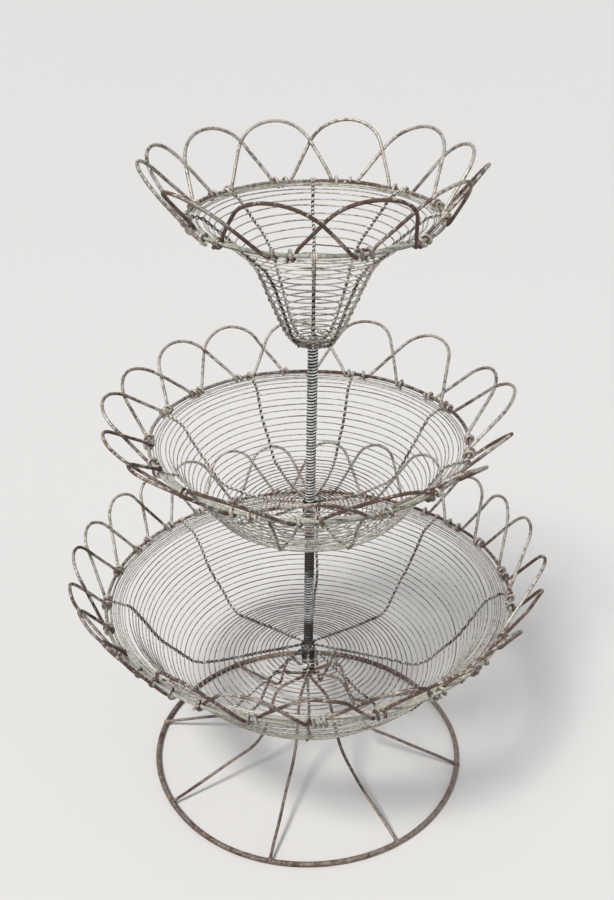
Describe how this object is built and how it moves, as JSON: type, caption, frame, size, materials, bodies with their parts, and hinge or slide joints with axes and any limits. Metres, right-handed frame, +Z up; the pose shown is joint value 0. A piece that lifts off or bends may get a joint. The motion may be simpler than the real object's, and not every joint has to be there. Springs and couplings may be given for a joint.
{
  "type": "tiered wire basket stand",
  "caption": "Tiered wirework basket stand: open ring-wire bowls with looped rims on a wire-wrapped post, above a ring foot with bent wire legs.",
  "frame": {"origin": "centre of the ring foot, on the table", "axes": "+Z up along the post, -Y towards the front"},
  "size_m": [0.429, 0.429, 0.5998],
  "materials": {
    "rusty_wire": "brown rusted iron wire, matt",
    "post_wire": "dark tarnished wire, worn brighter on the crowns",
    "rim_wire": "tin coating dulled to pale grey-green, rust in patches",
    "loop_wire": "tin coating worn through to brown rust",
    "rib_wire": "twisted wire, dark in the grooves and dull grey on the crowns",
    "fine_wire": "fine dulled wire, grey with rust spots",
    "solder": "dull soft solder"
  },
  "bodies": {
    "root": {"foot_ring": "rusty_wire", "leg_1": "rusty_wire", "leg_2": "rusty_wire", "leg_3": "rusty_wire", "leg_4": "rusty_wire", "leg_5": "rusty_wire", "leg_6": "rusty_wire", "leg_7": "rusty_wire", "leg_8": "rusty_wire", "hub_lashing": "post_wire", "hub_solder": "solder", "post_rod": "post_wire", "post_wrap_lower": "post_wire", "post_wrap_upper": "post_wire", "bottom_collar": "post_wire", "middle_collar": "post_wire", "top_collar": "post_wire", "bottom_rim": "rim_wire", "bottom_loops": "loop_wire", "bottom_loop_ends": "loop_wire", "bottom_rib_ties": "rib_wire", "bottom_wall_rings": "fine_wire", "bottom_floor_rings": "fine_wire", "bottom_rib_1": "rib_wire", "bottom_rib_2": "rib_wire", "bottom_rib_3": "rib_wire", "bottom_rib_4": "rib_wire", "bottom_rib_5": "rib_wire", "bottom_rib_6": "rib_wire", "bottom_rib_7": "rib_wire", "bottom_rib_8": "rib_wire", "middle_rim": "rim_wire", "middle_loops": "loop_wire", "middle_loop_ends": "loop_wire", "middle_rib_ties": "rib_wire", "middle_wall_rings": "fine_wire", "middle_floor_rings": "fine_wire", "middle_rib_1": "rib_wire", "middle_rib_2": "rib_wire", "middle_rib_3": "rib_wire", "middle_rib_4": "rib_wire", "middle_rib_5": "rib_wire", "middle_rib_6": "rib_wire", "middle_rib_7": "rib_wire", "middle_rib_8": "rib_wire", "top_rim": "rim_wire", "top_loops": "loop_wire", "top_loop_ends": "loop_wire", "top_rib_ties": "rib_wire", "top_wall_rings": "fine_wire", "top_floor_rings": "fine_wire", "top_rib_1": "rib_wire", "top_rib_2": "rib_wire", "top_rib_3": "rib_wire", "top_rib_4": "rib_wire", "top_rib_5": "rib_wire", "top_rib_6": "rib_wire", "top_rib_7": "rib_wire", "top_rib_8": "rib_wire"}
  },
  "joints": []
}
